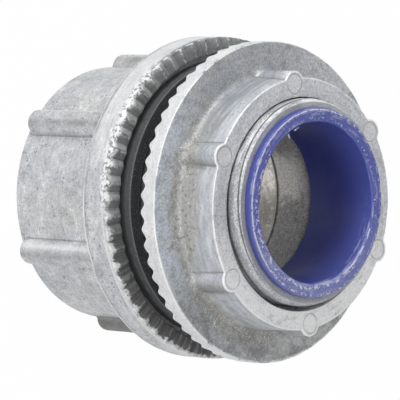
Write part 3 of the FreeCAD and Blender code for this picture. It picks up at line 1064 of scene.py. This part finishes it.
def neoprene():
    """Dull black rubber with fine dust, a paler outer wall that painted light lifts at its foot, and a
    painted highlight along its edges.
    """
    material, n = new_finish("neoprene")
    p = Patterns(n)
    wall = p.r.up(22, 22.3)
    dust = p.fine.up(0.56, 0.68) * p.blotch.up(0.3, 0.55)
    base = coated(n, mixed(n, p.cloud, (0.026, 0.027, 0.029), (0.05, 0.051, 0.054)), [
        (wall * 0.7, (0.07, 0.071, 0.074)),
        # painted light at the foot of the wall, where the recess shades it
        (wall * p.z.up(28.9, 27.2), (0.14, 0.142, 0.15)),
        (dust * 0.35, (0.3, 0.3, 0.3)),
        # painted highlight along the ring's edges
        (p.kept("edge") * 0.3, (0.35, 0.355, 0.36)),
    ])
    surfaced(n, {"Base Color": base, "Roughness": 0.55 + 0.2 * p.grain,
                 "Normal": bumped(n, p.fine, 0.00006, 0.5)})
    return material


def rim_scuffs(p):
    """1 on the broken lines round the liner's rim, and on long scuffs into its mouth."""
    on_rim = p.z.up(47.9, 48.15)
    wander = (p.noise(0.35, 4, 0.6) - 0.5) * 0.45
    ragged = p.noise(1.3, 4, 0.75)
    left = (p.y * -0.8 - p.x * 0.5).up(-6, 10)
    thin = (p.r + wander * 0.5).off(14.66).up(0.17, 0.07)
    second = (p.r + wander * 0.8).off(14.38).up(0.1, 0.03) * ragged.up(0.5, 0.56) * 0.7
    crest = thin.larger(second) * on_rim * (ragged + left * 0.12 - 0.03).up(0.49, 0.54)
    near = (p.y * -0.6 + p.x * 0.7).up(-4, 9)
    worn = (p.y * -0.8 + p.x * 0.6).up(5, 12)
    reach = (p.r + wander * 1.5).off(13.35 + 0.2 * worn).up(0.3 + 0.45 * worn, 0.1)
    mouth = reach * p.z.up(47.6, 47.9) * (ragged + near * 0.05).up(0.56, 0.61)
    smear = on_rim * p.streak.up(0.5, 0.62) * p.cloud.up(0.4, 0.55) * 0.3
    torn = p.zone((12.74, 12.66), (47.2, 47.5))
    low_right = (p.x * 0.8 + p.y * 0.6).up(7, 11) * 0.85
    edge_line = (p.r + wander).off(13).up(0.15, 0.04) * p.z.up(47.4, 47.7)
    edge_line = edge_line * p.noise(0.5).up(0.44, 0.52)
    drag = p.streak.up(0.5, 0.6) * p.z.up(46.2, 47.4) * p.r.up(13.6, 13.3) * 0.6
    return crest.larger(mouth).larger(smear).larger(torn).larger(drag.larger(edge_line) * low_right)


def nylon():
    """Glossy blue nylon, paler towards its rim, with whitish scuffs."""
    material, n = new_finish("blue_nylon")
    p = Patterns(n)
    scuff = rim_scuffs(p)
    base = coated(n, mixed(n, p.z.up(40, 47.6), (0.034, 0.05, 0.27), (0.082, 0.11, 0.44)), [
        (p.x.up(1, 10) * p.z.up(47.5, 48.1) * 0.5, (0.3, 0.33, 0.62)),
        (p.cloud.up(0.35, 0.7) * 0.3, (0.06, 0.075, 0.36)),
        (p.r.up(14.84, 14.96) * 0.45, (0.03, 0.04, 0.2)),
        (scuff * 0.92, (0.82, 0.82, 0.95)),
    ])
    surfaced(n, {"Base Color": base, "Roughness": 0.28 + 0.35 * scuff,
                 "Normal": bumped(n, p.grain * 0.3 + p.cloud * 0.7 + scuff * 0.6, 0.0001, 0.6)})
    return material


ring_piece.data.materials.append(neoprene())
liner_piece.data.materials.append(nylon())
print("finishes:", [m.name for m in bpy.data.materials if m.users])

# %% [markdown]
# ## Stage and light
# What the camera and shiny surfaces see of the floor and the world is white through the Light Path
# node, so the picture's ground is clean without more light on the hub. The floor keeps a share of its
# plain shading, which is the hub's soft shadow. Five soft area lamps light the hub, one of them faintly
# through the throat.

# %% Floor and world


def seen_directly(n):
    """1 for what the camera, a shiny surface or glass sees, else 0."""
    total = 0
    for ray in ("Is Camera Ray", "Is Glossy Ray", "Is Transmission Ray"):
        total = n.add("ShaderNodeLightPath", output=ray) + total
    return total.math("MINIMUM", total, 1)


def pale_floor():
    """Plain pale floor that looks white and keeps a soft shadow."""
    material, n = new_finish("pale_floor")
    plain_part = n.add("ShaderNodeBsdfPrincipled", None, {"Base Color": (0.8, 0.8, 0.8), "Roughness": 0.9})
    white_part = n.add("ShaderNodeEmission")
    share = seen_directly(n) * 0.985
    shader = n.add("ShaderNodeMixShader", None, {"Fac": share, 1: plain_part, 2: white_part})
    n.add("ShaderNodeOutputMaterial", None, {"Surface": shader})
    return material


half = 2
corners = [(-half, -half, 0), (half, -half, 0), (half, half, 0), (-half, half, 0)]
floor_mesh = bpy.data.meshes.new("floor")
floor_mesh.from_pydata(corners, [], [(0, 1, 2, 3)])
floor_mesh.materials.append(pale_floor())
floor = bpy.data.objects.new("floor", floor_mesh)
floor.location.z = -0.0001
scene.collection.objects.link(floor)

ambient = 0.44
world = bpy.data.worlds.new("white_room")
world.use_nodes = True
scene.world = world
n = Nodes(world.node_tree)
strength = ambient + (1 - ambient) * seen_directly(n)
room = n.add("ShaderNodeBackground", None, {"Color": (1, 1, 1), "Strength": strength})
n.add("ShaderNodeOutputWorld", None, {"Surface": room})
print("ambient light:", ambient)

# %% Lamps
hub_middle = Vector((0, 0, 0.023))


def lamp(name, place, power, size):
    """A soft square lamp that looks at the middle of the hub."""
    made = bpy.data.objects.new(name, bpy.data.lights.new(name, "AREA"))
    made.data.energy, made.data.size = power, size
    made.location = place
    made.rotation_euler = (hub_middle - Vector(place)).to_track_quat("-Z", "Y").to_euler()
    scene.collection.objects.link(made)


lamp("key", (-0.46, -0.22, 0.1), 1.65, 0.3)
lamp("side", (-0.05, -0.5, 0.06), 0.3, 0.3)
lamp("low", (0.26, -0.44, 0.07), 0.75, 0.3)
lamp("top", (-0.1, -0.1, 0.6), 0.25, 0.4)
lamp("through", (0, 0, 0.003), 0.0016, 0.02)

# %% [markdown]
# ## The end
# The look is the standard one, with no film curve.

# %% The look
scene.view_settings.view_transform = "Standard"
